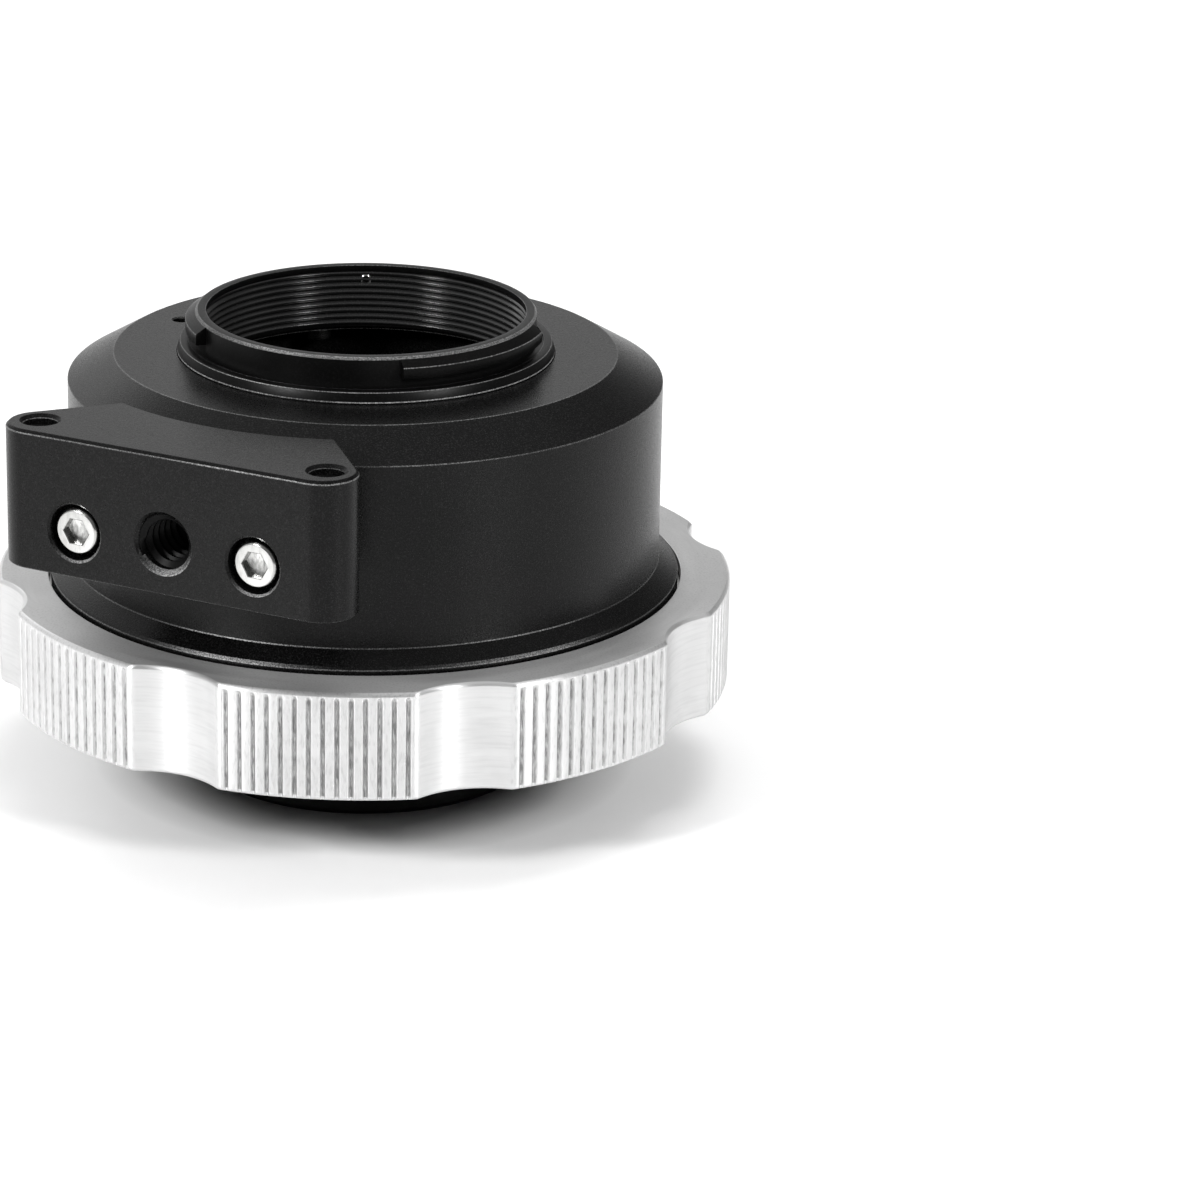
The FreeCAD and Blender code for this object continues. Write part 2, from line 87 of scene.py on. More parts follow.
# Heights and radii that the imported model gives
ring_bottom = low_z("lock_ring")
ring_top = high_z("lock_ring")
seat_z = low_z("lens_seat")
sleeve_top = high_z("lens_seat")
barrel_bottom = low_z("body_barrel")
camera_face = high_z("body_barrel")
rim_z = high_z("bayonet_ring")
spigot_bottom = low_z("bayonet_ring")
foot_bottom = low_z("tripod_foot")
foot_top = high_z("tripod_foot")
foot_face = -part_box("tripod_foot")[0].y / MM
foot_half_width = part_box("tripod_foot")[1].x / MM
flange_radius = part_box("body_barrel")[1].y / MM
base_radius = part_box("bayonet_ring")[1].y / MM
port_radius = mount_size("lens_port", "r_mm")
throat_radius = mount_size("throat", "r_mm")

# Lock ring
ring_radius = 44.0
ring_lip_radius = flange_radius + 0.34
ring_chamfer = 0.4
ring_phase = -1.0
scallop_count = 8
scallop_depth = 2.0
scallop_cutter = 10.6
scallop_blend = 0.22
knurls_per_land = 14
knurl_depth = 0.4
knurl_margin = 1.4
knurl_floor_half = 0.08
knurl_mouth_half = 0.4
knurl_fade = ((0.5, 0.0), (0.66, 0.3), (0.86, 0.75), (1.15, 1.0))
lug_count = 4
lug_angle = 43.0
lug_inner = port_radius + 4.2
lug_gap = 35.3
lug_chamfer = 0.6
lug_top = seat_z - 4.0
ring_underside_step = 38.6
pocket_radius = 36.0
thrust_z = seat_z - 0.3
snap_top = ring_top - 1.5
snap_bottom = snap_top - 0.8
snap_outer = ring_lip_radius + 0.51
snap_groove_radius = snap_outer - 2.21
snap_room = 0.3

# Barrel
barrel_radius = 35.35
bevel_top = ring_top + 2.2
flange_lip_z = ring_top + 0.42
flange_lip_width = 0.35
flange_lip_height = 0.3
sleeve_bore_radius = port_radius + 1.65
fit_gap = 0.05
shoulder_z = camera_face - 3.17
camera_face_radius = 29.89
web_bottom = camera_face - 3.4
recess_z = camera_face - 0.8
lock_pin_circle = 25.3
lock_pin_angle = -89.4
lock_pin_radius = 1.1
lock_pin_depth = 2.2
bayonet_screw_circle = throat_radius + 2.15
bayonet_screw_angles = (45.0, 135.0, 225.0, 315.0)
bayonet_screw_hole = 0.85
bayonet_screw_depth = 4.15
seat_screw_circle = port_radius + 6.0
seat_screw_angles = [22.5 + 45.0 * i for i in range(8)]
seat_screw_hole = 1.05
seat_screw_depth = 3.35

# Bayonet
tube_radius = throat_radius + 1.25
spigot_radius = throat_radius + 0.9
base_step_radius = base_radius - 1.35
claw_radius = tube_radius + 1.2
claw_spans = ((40.0, 104.0), (-99.2, -39.2), (160.0, 224.0))
claw_under_z = camera_face + 2.6
claw_edge_z = camera_face + 3.95
claw_slope_top = rim_z - 0.25
claw_runout = 0.35
base_groove_z = camera_face + 1.15
base_step_z = camera_face + 1.5
throat_thread_depth = 0.34
throat_thread_pitch = 0.78
throat_thread_turns = 8.6
throat_lip = 0.75
turn_pin_angle = 209.0
turn_pin_z = rim_z - 1.75
turn_pin_radius = 0.7
turn_pin_hole = 0.75

# Foot
foot_corner = 4.0
foot_flank = 48.0
foot_seat_radius = barrel_radius + 0.05
foot_screw_side = 11.55
foot_screw_z = foot_bottom + 5.37
foot_screw_hole = 1.55
foot_screw_hole_depth = 17.0
foot_counterbore = 3.3
foot_head_inset = 0.4
tripod_hole_depth = 9.5
tripod_hole_chamfer = 0.5
rod_hole_depth = 8.5
rod_hole_chamfer = 0.35
screw_radius = 1.5
screw_end = -17.0
screw_head_radius = 2.75
screw_head_height = 3.0
socket_width = 3.0
socket_depth = 1.2

# Cap
cap_boss_radius = 20.6
cap_radius = lug_inner - 0.3
cap_wall = 1.8
cap_floor = 2.0
cap_face = ring_bottom + 0.5


# Mesh helpers

def along(axis):
    """Rotation that turns local +Z to an axis."""
    return UP.rotation_difference(axis).to_matrix().to_4x4()


def mesh_object(name, points, faces, place=None):
    """Object from points in millimetres, its mesh merged and facing out."""
    matrix = place or Matrix.Identity(4)
    mesh = bpy.data.meshes.new(name)
    mesh.from_pydata([tuple((matrix @ Vector(p)) * MM) for p in points], [], faces)
    piece = bpy.data.objects.new(name, mesh)
    bpy.context.scene.collection.objects.link(piece)
    clean(mesh)
    return piece


def clean(mesh):
    build = bmesh.new()
    build.from_mesh(mesh)
    bmesh.ops.remove_doubles(build, verts=build.verts, dist=1e-7)
    bmesh.ops.dissolve_degenerate(build, edges=build.edges, dist=1e-8)
    bmesh.ops.recalc_face_normals(build, faces=build.faces)
    build.to_mesh(mesh)
    build.free()


def smooth(piece, angle=32.0):
    """Smooth shading with sharp edges kept, and large flat faces kept flat."""
    piece.data.shade_smooth()
    piece.data.set_sharp_from_angle(angle=math.radians(angle))
    weighted = piece.modifiers.new("weighted", "WEIGHTED_NORMAL")
    weighted.keep_sharp = True
    return piece


def mark_faces(piece, name, level):
    """Stores level(face, its corners in millimetres) on each face, for the materials."""
    mesh = piece.data
    marks = mesh.attributes.new(name, "FLOAT", "FACE")
    for face in mesh.polygons:
        corners = [mesh.vertices[i].co / MM for i in face.vertices]
        marks.data[face.index].value = level(face, corners)
    return piece


def mark_edge_wear_and_glint(piece, thin, strength):
    """Marks the narrow bands round a turned piece's edges for edge wear and painted edge highlights, by
    strength(r, z, angle).
    """

    def level(face, corners):
        section = [(math.hypot(p.x, p.y), p.z) for p in corners]
        radii = [r for r, z in section]
        heights = [z for r, z in section]
        width = math.hypot(max(radii) - min(radii), max(heights) - min(heights))
        angle = math.degrees(math.atan2(face.center.x, -face.center.y))
        return strength(min(radii), min(heights), angle) if width < thin else 0.0

    return mark_faces(piece, "edge_wear_and_glint", level)


def ease(outline, radius=0.1, steps=3):
    """Closed (r, z) outline with a small curve in place of each corner."""
    eased = []
    count = len(outline)
    for i in range(count):
        corner = Vector(outline[i])
        before = Vector(outline[i - 1]) - corner
        after = Vector(outline[(i + 1) % count]) - corner
        if corner.x < 1e-6 or abs(before.angle(after) - math.pi) < 0.1:
            eased.append(tuple(corner))
            continue
        cut = min(radius, 0.4 * before.length, 0.4 * after.length)
        start = corner + before.normalized() * cut
        end = corner + after.normalized() * cut
        for step in range(steps + 1):
            t = step / steps
            eased.append(tuple(start * (1 - t) ** 2 + corner * 2 * t * (1 - t) + end * t**2))
    return eased


def sweep(name, angles, profile, place=None):
    """Closed mesh whose section at each angle round Z is the (r, z) list profile(angle)."""
    points = []
    for angle in angles:
        s, c = math.sin(math.radians(angle)), math.cos(math.radians(angle))
        points += [(r * s, -r * c, z) for r, z in profile(angle)]
    rings = len(angles)
    count = len(points) // rings
    faces = []
    for i in range(rings):
        here, there = i * count, ((i + 1) % rings) * count
        for k in range(count):
            n = (k + 1) % count
            faces.append((here + k, there + k, there + n, here + n))
    return mesh_object(name, points, faces, place)


def even_angles(count):
    return [TURN * i / count for i in range(count)]


def lathe(name, outline, segments=360, place=None):
    """Solid of revolution of a closed (r, z) outline."""
    return sweep(name, even_angles(segments), lambda angle: outline, place)


def cut(piece, cutters):
    """Subtracts the cutters from a piece, and deletes them."""
    joined = bmesh.new()
    for cutter in cutters:
        joined.from_mesh(cutter.data)
    tool_mesh = bpy.data.meshes.new("cutters")
    joined.to_mesh(tool_mesh)
    joined.free()
    tool = bpy.data.objects.new("cutters", tool_mesh)
    bpy.context.scene.collection.objects.link(tool)
    carve = piece.modifiers.new("cut", "BOOLEAN")
    carve.operation = "DIFFERENCE"
    carve.solver = "EXACT"
    carve.object = tool
    bpy.context.view_layer.update()
    carved = bpy.data.meshes.new_from_object(piece.evaluated_get(bpy.context.evaluated_depsgraph_get()))
    piece.modifiers.clear()
    piece.data = carved
    carved.name = piece.name
    for used in [tool] + cutters:
        bpy.data.objects.remove(used)
    return piece


def spot(distance, z, angle=0.0):
    """Point at a distance from the axis, in the direction of an angle."""
    turn = math.radians(angle)
    return Vector((distance * math.sin(turn), -distance * math.cos(turn), z))


def drill(radius, depth, mouth, axis, chamfer=0.0):
    """Cutter for a round hole with an eased, chamfered mouth; axis points out of it."""
    soft = 0.07
    outline = [
        (0, 1.0),
        (radius + chamfer + soft * 2 + 1.0, 1.0),
        (radius + chamfer + soft * 2, 0.0),
        (radius + chamfer + soft * 0.4, -soft * 0.4),
        (radius + chamfer * 0.9, -soft - chamfer * 0.1),
        (radius + chamfer * 0.08, -soft - chamfer * 0.92),
        (radius, -soft * 2 - chamfer),
        (radius, -depth),
        (0, -depth),
    ]
    return lathe("drill", outline, 64, Matrix.Translation(mouth) @ along(axis))


def step_drill(radius, depth, inner, inner_depth, mouth, axis, chamfer):
    """Cutter for a counterbored hole with an eased, chamfered mouth."""
    soft = 0.06
    outline = [
        (0, 1.0),
        (radius + chamfer + 1.2, 1.0),
        (radius + chamfer + soft, 0.0),
        (radius + chamfer, -soft),
        (radius, -soft - chamfer),
        (radius, -depth),
        (inner, -depth),
        (inner, -inner_depth),
        (0, -inner_depth),
    ]
    return lathe("step_drill", outline, 64, Matrix.Translation(mouth) @ along(axis))


def hex_drill(width, depth, mouth, axis):
    """Cutter for a hexagonal socket with a coned bottom and a slightly coned mouth."""
    corner = width / math.sqrt(3)
    wall = corner - 0.06
    levels = ((corner + 0.5, 0.5), (corner + 0.02, 0.0), (wall, -0.08), (wall, -depth))
    cone_depth = 0.5
    points = []
    for radius, z in levels:
        for i in range(6):
            turn = math.radians(60 * i)
            points.append((radius * math.cos(turn), radius * math.sin(turn), z))
    last = len(points) - 6
    tip = len(points)
    points.append((0, 0, -depth - cone_depth))
    faces = [tuple(range(6))]
    faces += [(last + i, last + (i + 1) % 6, tip) for i in range(6)]
    for level in range(len(levels) - 1):
        for i in range(6):
            n = (i + 1) % 6
            faces.append((level * 6 + i, level * 6 + n, level * 6 + 6 + n, level * 6 + 6 + i))
    return mesh_object("hex", points, faces, Matrix.Translation(mouth) @ along(axis))


def helix(name, radius, depth, pitch, turns, start, place=None, steps=120):
    """Thread ridge on a bore's wall: radius is the wall, start the height of its middle."""
    root_half = pitch * 0.46
    crest_half = pitch * 0.11
    root = radius + 0.03
    runout = steps * 0.12
    points, faces = [], []
    count = int(turns * steps)
    for i in range(count + 1):
        turn = 2 * math.pi * i / steps
        z = start + pitch * i / steps
        rise = min(1.0, i / runout, (count - i) / runout)
        crest = radius - depth * rise
        section = ((root, -root_half), (crest, -crest_half), (crest, crest_half), (root, root_half))
        for r, dz in section:
            points.append((r * math.cos(turn), r * math.sin(turn), z + dz))
    for i in range(count):
        for k in range(4):
            n = (k + 1) % 4
            faces.append((i * 4 + k, i * 4 + n, i * 4 + 4 + n, i * 4 + 4 + k))
    faces += [(0, 1, 2, 3), tuple(count * 4 + k for k in range(4))]
    return mesh_object(name, points, faces, place)


# Lock ring

def scallop_radius(angle):
    """Outer radius at an angle: the full circle, or less in a scallop."""
    step = TURN / scallop_count
    offset = math.radians((angle - ring_phase + step / 2) % step - step / 2)
    centre = ring_radius - scallop_depth + scallop_cutter
    reach = scallop_cutter**2 - (centre * math.sin(offset)) ** 2
    if reach <= 0:
        return ring_radius
    hit = centre * math.cos(offset) - math.sqrt(reach)
    blend = max(scallop_blend - abs(hit - ring_radius), 0) / scallop_blend
    return min(hit, ring_radius) - blend**2 * scallop_blend / 4


def scallop_half_angle():
    centre = ring_radius - scallop_depth + scallop_cutter
    cosine = (centre**2 + ring_radius**2 - scallop_cutter**2) / (2 * centre * ring_radius)
    return math.degrees(math.acos(cosine))


def knurl_angles():
    step = TURN / scallop_count
    reach = step / 2 - scallop_half_angle() - knurl_margin
    pitch = 2 * reach / (knurls_per_land - 1)
    return [
        ring_phase + step * (land + 0.5) - reach + pitch * i
        for land in range(scallop_count) for i in range(knurls_per_land)
    ]


def ring_angles():
    """Angles that catch each knurl's flanks, each scallop's curve and each lug's ends."""
    step = TURN / scallop_count
    half = scallop_half_angle()
    half_groove = (0.07, 0.14, 0.21, 0.27, 0.33, 0.42)
    angles = []
    for groove in knurl_angles():
        for side in (0, *half_groove, *(-mm for mm in half_groove)):
            angles.append(groove + math.degrees(side / ring_radius))
    for scallop in range(scallop_count):
        centre = ring_phase + step * scallop
        angles += [centre + half * share / 12 for share in range(-14, 15)]
    for edge in lug_edges():
        angles += [edge - 0.01, edge + 0.01]
    return sorted({round(angle % TURN, 4) for angle in angles})


def lug_edges():
    gap = TURN / lug_count - lug_angle
    return [
        ring_phase + TURN * i / lug_count + side * gap / 2
        for i in range(lug_count) for side in (-1, 1)
    ]


def knurl_share(angle, grooves):
    """1 on a groove's floor, 0 on a land, at an angle."""
    nearest = min(abs((angle - groove + 180) % TURN - 180) for groove in grooves)
    across = math.radians(nearest) * ring_radius
    t = (across - knurl_floor_half) / (knurl_mouth_half - knurl_floor_half)
    t = min(max(t, 0), 1)
    return 1 - t * t * (3 - 2 * t)


def mark_ring(ring, grooves):
    """Stores how deep in a groove each outer point is, for the painted shade in the grooves, and whether
    it is in a scallop.
    """
    groove = ring.data.attributes.new("groove", "FLOAT", "POINT")
    scallop = ring.data.attributes.new("scallop", "FLOAT", "POINT")
    reach = ring_radius - scallop_depth - 1.0
    full_drop = knurl_fade[-1][0]
    for point in ring.data.vertices:
        x, y, z = point.co / MM
        if math.hypot(x, y) < reach:
            continue
        angle = math.degrees(math.atan2(x, -y))
        drop = ring_top - z
        if scallop_radius(angle) < ring_radius - 0.1:
            scallop.data[point.index].value = 1.0
        elif drop >= knurl_fade[0][0] and z > ring_bottom + ring_chamfer:
            depth = min(1.0, drop / full_drop)
            groove.data[point.index].value = knurl_share(angle, grooves) ** 1.5 * depth


def lock_ring():
    grooves = knurl_angles()
    lug_step = TURN / lug_count
    gap_half = (lug_step - lug_angle) / 2

    def profile(angle):
        c = ring_chamfer
        outer = scallop_radius(angle)
        depth = knurl_depth * knurl_share(angle, grooves)
        offset = (angle - ring_phase + lug_step / 2) % lug_step - lug_step / 2
        inner = lug_gap if abs(offset) < gap_half else lug_inner
        bottom = ring_bottom
        section = [
            (ring_lip_radius + 0.1, ring_top),
            (outer - c - 0.06, ring_top),
            (outer - c * 0.85, ring_top - 0.03),
            (outer - 0.03, ring_top - c * 0.85),
            (outer, ring_top - c - 0.06),
        ]
        section += [(outer - depth * share, ring_top - drop) for drop, share in knurl_fade]
        low = outer - depth
        section += [
            (low, (ring_top + bottom) / 2),
            (low, bottom + c + 0.3),
            (low, bottom + c + 0.06),
            (min(low, outer - 0.03), bottom + c * 0.85),
            (min(low, outer - c * 0.85), bottom + 0.03),
            (min(low, outer - c - 0.06), bottom),
            (ring_underside_step, bottom),
            (inner + lug_chamfer, bottom),
            (inner + lug_chamfer * 0.8, bottom + 0.06),
            (inner + 0.06, bottom + lug_chamfer * 0.8),
            (inner, bottom + lug_chamfer),
            (inner, lug_top - 0.1),
            (inner + 0.1, lug_top),
            (pocket_radius, lug_top),
            (pocket_radius, thrust_z - 0.08),
            (pocket_radius + 0.08, thrust_z),
            (ring_lip_radius, thrust_z),
            (ring_lip_radius, snap_bottom - snap_room),
            (snap_outer + snap_room, snap_bottom - snap_room),
            (snap_outer + snap_room, snap_top + snap_room),
            (ring_lip_radius, snap_top + snap_room),
            (ring_lip_radius, ring_top - 0.1),
            (ring_lip_radius + 0.03, ring_top - 0.03),
        ]
        return section

    ring = smooth(sweep("dressed_lock_ring", ring_angles(), profile), 40)
    mark_ring(ring, grooves)
    finish(ring, turned_aluminium, "lock_ring", "lock_ring")
    ring.data.materials.append(faced_aluminium)
    for face in ring.data.polygons:
        if face.center.z > (ring_top - 0.01) * MM and face.normal.z > 0.9:
            face.material_index = 1
            face.use_smooth = False


# Barrel

def patch(angle, centre, width):
    """1 at the centre of a patch, falling smoothly to 0 round it."""
    return math.exp(-(((angle - centre) / width) ** 2))


def bayonet_screw_drills():
    """Cutters for the screws that hold the bayonet, which the barrel and the bayonet share."""
    mouths = [spot(bayonet_screw_circle, web_bottom, angle) for angle in bayonet_screw_angles]
    return [drill(bayonet_screw_hole, bayonet_screw_depth, mouth, DOWN) for mouth in mouths]


def body_barrel():
    outline = ease([
        (sleeve_bore_radius, barrel_bottom),
        (flange_radius, barrel_bottom),
        (flange_radius, snap_bottom),
        (snap_groove_radius, snap_bottom),
        (snap_groove_radius, snap_top),
        (flange_radius, snap_top),
        (flange_radius, flange_lip_z),
        (flange_radius - flange_lip_width, flange_lip_z + flange_lip_height),
        (barrel_radius, bevel_top),
        (barrel_radius, shoulder_z),
        (camera_face_radius, camera_face),
        (base_radius + fit_gap, camera_face),
        (base_radius + fit_gap, recess_z),
        (spigot_radius + fit_gap, recess_z),
        (spigot_radius + fit_gap, web_bottom),
        (bayonet_screw_circle + 2.0, web_bottom),
        (port_radius - 0.4, sleeve_top + fit_gap),
        (sleeve_bore_radius, sleeve_top + fit_gap),
    ], 0.09)
    barrel = lathe("dressed_barrel", outline, 384)
    lock_pin_mouth = spot(lock_pin_circle, camera_face, lock_pin_angle)
    cutters = [drill(lock_pin_radius, lock_pin_depth, lock_pin_mouth, UP, 0.12)]
    cutters += bayonet_screw_drills()
    for angle in seat_screw_angles:
        mouth = spot(seat_screw_circle, barrel_bottom, angle)
        cutters.append(drill(seat_screw_hole, seat_screw_depth, mouth, DOWN))
    for side in (-1, 1):
        mouth = Vector((side * foot_screw_side, -foot_face, foot_screw_z))
        cutters.append(drill(foot_screw_hole, foot_screw_hole_depth + 0.9, mouth, FRONT))
    smooth(cut(barrel, cutters), 28)

    def strength(r, z, angle):
        if z > bevel_top + 1.0:
            return 0.45
        # edge wear and painted edge highlights: patches on the flange lip and bands along the barrel's
        # edges
        wear_and_glint_level = 1.8 * patch(angle, 3.0, 10.0) + 1.0 * patch(angle, 58.0, 12.0)
        on_strip = flange_lip_z + 0.03 < z < flange_lip_z + 0.2
        return wear_and_glint_level if on_strip else wear_and_glint_level + 0.4

    mark_edge_wear_and_glint(barrel, 0.55, strength)
    finish(barrel, black_blasted, "body_barrel", "adapter")


# Bayonet ring

def bayonet_ring():
    bore = throat_radius + throat_thread_depth
    lip_z = rim_z - throat_lip
    slope = claw_slope_top - claw_edge_z

    def share(angle):
        """1 on a claw, 0 in a recess, with a short slant at each claw's ends."""
        for start, end in claw_spans:
            inside = (angle - start) % TURN
            if inside <= end - start:
                return min(1.0, inside / claw_runout, (end - start - inside) / claw_runout)
        return 0.0

    def profile(angle):
        rise = share(angle)
        reach = tube_radius + (claw_radius - tube_radius) * rise
        return ease_fixed([
            (bore, spigot_bottom),
            (spigot_radius, spigot_bottom),
            (spigot_radius, recess_z),
            (base_radius, recess_z),
            (base_radius, camera_face + 0.25),
            (base_radius - 0.35, camera_face + 1.35),
            (base_step_radius, base_step_z),
            (base_step_radius, base_groove_z),
            (tube_radius, base_groove_z),
            (tube_radius, claw_under_z),
            (reach, claw_under_z + 0.02),
            (reach, claw_slope_top - slope * rise - 0.02 * (1 - rise)),
            (tube_radius, claw_slope_top),
            (tube_radius - 0.2, rim_z),
            (throat_radius, rim_z),
            (throat_radius, lip_z),
            (bore, lip_z - 0.3),
        ])

    angles = set(even_angles(360))
    inwards = (-0.02, 0.0, claw_runout, claw_runout + 0.3)
    for start, end in claw_spans:
        for inward in inwards:
            angles.add(round((start + inward) % TURN, 3))
            angles.add(round((end - inward) % TURN, 3))
    ring = sweep("dressed_bayonet", sorted(angles), profile)
    outwards = spot(1, 0, turn_pin_angle)
    cutters = bayonet_screw_drills()
    pin_mouth = spot(claw_radius + 0.8, turn_pin_z, turn_pin_angle)
    cutters.append(drill(turn_pin_hole, 4.2, pin_mouth, outwards))
    smooth(cut(ring, cutters), 30)

    def strength(r, z, angle):
        under_claws = base_step_z + 0.3 < z < claw_edge_z - 0.3
        tube_wall = r < tube_radius + 0.05 and z < rim_z - 0.5
        if under_claws or tube_wall:
            return 0.0
        # edge wear and painted edge highlights, strongest at the base's lower edge and in a patch at the
        # front
        return 1.0 if z < camera_face + 0.4 else 0.4 + 0.8 * patch(angle, 2.0, 24.0)

    mark_edge_wear_and_glint(ring, 0.2, strength)
    finish(ring, black_turned, "bayonet_ring", "adapter")

    turn_pin(outwards)
    thread_start = spigot_bottom + 0.35
    ridge = helix(
        "throat_thread", bore, throat_thread_depth, throat_thread_pitch, throat_thread_turns,
        thread_start,
    )
    smooth(ridge, 60)
    finish(ridge, black_thread, None, "adapter")


def turn_pin(outwards):
    """Pin across the tube, its round end just proud of the throat's wall."""
    pin_end = throat_radius - claw_radius + 0.1
    outline = ease([
        (0, 0), (0.45, 0), (turn_pin_radius, -0.25), (turn_pin_radius, pin_end), (0, pin_end),
    ], 0.12)
    place = Matrix.Translation(spot(throat_radius + 0.02, turn_pin_z, turn_pin_angle)) @ along(-outwards)
    pin = smooth(lathe("turn_pin", outline, 32, place), 50)
    finish(pin, bright_steel, "bayonet_turn_pin", "adapter")


def ease_fixed(outline, radius=0.07):
    """As ease, but every corner gives three points, so all sections match."""
    eased = []
    count = len(outline)
    for i in range(count):
        corner = Vector(outline[i])
        ends = []
        for other in (outline[i - 1], outline[(i + 1) % count]):
            away = Vector(other) - corner
            length = away.length
            step = min(radius, 0.4 * length)
            ends.append(corner + away / length * step if length > 1e-6 else corner)
        middle = (ends[0] + ends[1]) / 4 + corner / 2
        eased += [tuple(ends[0]), tuple(middle), tuple(ends[1])]
    return eased


# Foot

def foot_loop(inset):
    """Foot's outline from above, pulled in by an inset all round but its hollow back."""
    flank = math.radians(foot_flank)
    side = foot_half_width - foot_corner
    depth = foot_face - foot_corner
    radius = foot_corner - inset
    arc_steps = 20
    ear = []
    for i in range(arc_steps + 1):
        turn = math.pi / 2 - (math.pi - flank) * i / arc_steps
        ear.append((side + radius * math.cos(turn), depth + radius * math.sin(turn)))
    last = ear[-1]
    heading = (-math.cos(flank), -math.sin(flank))
    along_flank = -(last[0] * heading[0] + last[1] * heading[1])
    excess = last[0] ** 2 + last[1] ** 2 - foot_seat_radius**2
    run = along_flank - math.sqrt(along_flank**2 - excess)
    seat = (last[0] + heading[0] * run, last[1] + heading[1] * run)
    half = math.atan2(seat[0], seat[1])
    back_steps = 40
    back = []
    for i in range(back_steps + 1):
        turn = half - 2 * half * i / back_steps
        back.append((foot_seat_radius * math.sin(turn), foot_seat_radius * math.cos(turn)))
    left = [(-s, d) for s, d in reversed(ear)]
    return ear + back + left


def mark_foot_wear_and_glint(foot, holes):
    """Marks the lower edge of the foot's top chamfer and the lower rims of its front holes for edge wear
    and painted highlights.
    """
    top = foot_top - 0.25
    low = foot_top - 0.5
    rim_depth = 0.6

    def level(face, corners):
        heights = [p.z for p in corners]
        if low < min(heights) and max(heights) < top and abs(face.normal.z) < 0.7:
            return 1.0
        middle = sum(corners, Vector()) / len(corners)
        if middle.y > -foot_face + rim_depth or not 0.1 < abs(face.normal.y) < 0.98:
            return 0.0
        for place, reach in holes:
            away = middle - place
            if math.hypot(away.x, away.z) < reach:
                # painted highlight and wear, strongest at the bottom of each rim and leaning right
                return 1.4 * max((-away.z + 0.3 * away.x) / reach, 0.0) ** 3
        return 0.0

    mark_faces(foot, "edge_wear_and_glint", level)


def tripod_foot():
    upper = ((0.46, 0.0), (0.36, 0.03), (0.3, 0.08), (0.08, 0.3), (0.03, 0.36), (0.0, 0.46))
    lower = ((0.0, 0.24), (0.03, 0.16), (0.16, 0.03), (0.24, 0.0))
    rows = [(inset, foot_top - drop) for inset, drop in upper]
    rows += [(inset, foot_bottom + drop) for inset, drop in lower]
    points, faces = [], []
    for inset, z in rows:
        points += [(s, -d, z) for s, d in foot_loop(inset)]
    count = len(points) // len(rows)
    for row in range(len(rows) - 1):
        for k in range(count):
            n = (k + 1) % count
            here, there = row * count, (row + 1) * count
            faces.append((here + k, here + n, there + n, there + k))
    faces.append(tuple(range(count)))
    faces.append(tuple((len(rows) - 1) * count + k for k in range(count)))
    foot = mesh_object("dressed_foot", points, faces)

    tripod = mount_place("tripod_thread")
    tripod_radius = mount_size("tripod_thread", "r_mm")
    rods = mount_place("rod_threads")
    rod_side = mount_size("rod_threads", "spacing_x_mm") / 2
    rod_radius = mount_size("rod_threads", "hole_r_mm")
    tripod_mouth = Vector((0, -foot_face, tripod.z))
    cutters = [drill(tripod_radius, tripod_hole_depth, tripod_mouth, FRONT, tripod_hole_chamfer)]
    holes = [(tripod_mouth, tripod_radius + 0.7)]
    for side in (-1, 1):
        for z, axis in ((foot_top, UP), (foot_bottom, DOWN)):
            mouth = Vector((side * rod_side, rods.y, z))
            cutters.append(drill(rod_radius, rod_hole_depth, mouth, axis, rod_hole_chamfer))
        mouth = Vector((side * foot_screw_side, -foot_face, foot_screw_z))
        head_depth = foot_head_inset + screw_head_height
        cutters.append(step_drill(
            foot_counterbore, head_depth, foot_screw_hole, foot_screw_hole_depth, mouth, FRONT, 0.2
        ))
        holes.append((mouth, foot_counterbore + 0.35))
    smooth(cut(foot, cutters), 28)
    mark_foot_wear_and_glint(foot, holes)
    finish(foot, black_blasted, "tripod_foot", "adapter")

    place = Matrix.Translation(tripod_mouth) @ along(FRONT)
    thread = helix("tripod_thread", tripod_radius, 0.62, 1.27, 6.6, -9.2, place, 72)
    finish(smooth(thread, 50), black_turned, None, "adapter")
    for side, name in ((-1, "left"), (1, "right")):
        place = Matrix.Translation(Vector((side * rod_side, rods.y, 0)))
        thread = helix("rod_thread_" + name, rod_radius, 0.36, 0.7, 20.5, foot_bottom + 0.75, place, 48)
        finish(smooth(thread, 50), black_turned, None, "adapter")


def mark_socket_shade(screw, top):
    """Marks the faces inside a screw's socket for a painted shade, which darkens them."""
    reach = 1.55

    def level(face, corners):
        middle = sum(corners, Vector()) / len(corners) - top
        return 0.7 if math.hypot(middle.x, middle.z) < reach and middle.y > 0.02 else 0.0

    mark_faces(screw, "groove", level)


def foot_screws():
    for side, name in ((-1, "left"), (1, "right")):
        outline = ease([
            (0, 0),
            (2.45, 0),
            (screw_head_radius, -0.3),
            (screw_head_radius, -screw_head_height),
            (screw_radius, -screw_head_height),
            (screw_radius, screw_end),
            (0, screw_end),
        ], 0.12)
        top = Vector((side * foot_screw_side, -foot_face + foot_head_inset, foot_screw_z))
        screw = lathe("socket_screw_" + name, outline, 96, Matrix.Translation(top) @ along(FRONT))
        cut(screw, [hex_drill(socket_width, socket_depth, top, FRONT)])
        smooth(screw, 30)
        mark_socket_shade(screw, top)
        finish(screw, bright_steel, "foot_screw_" + name, "adapter")


# Lens end

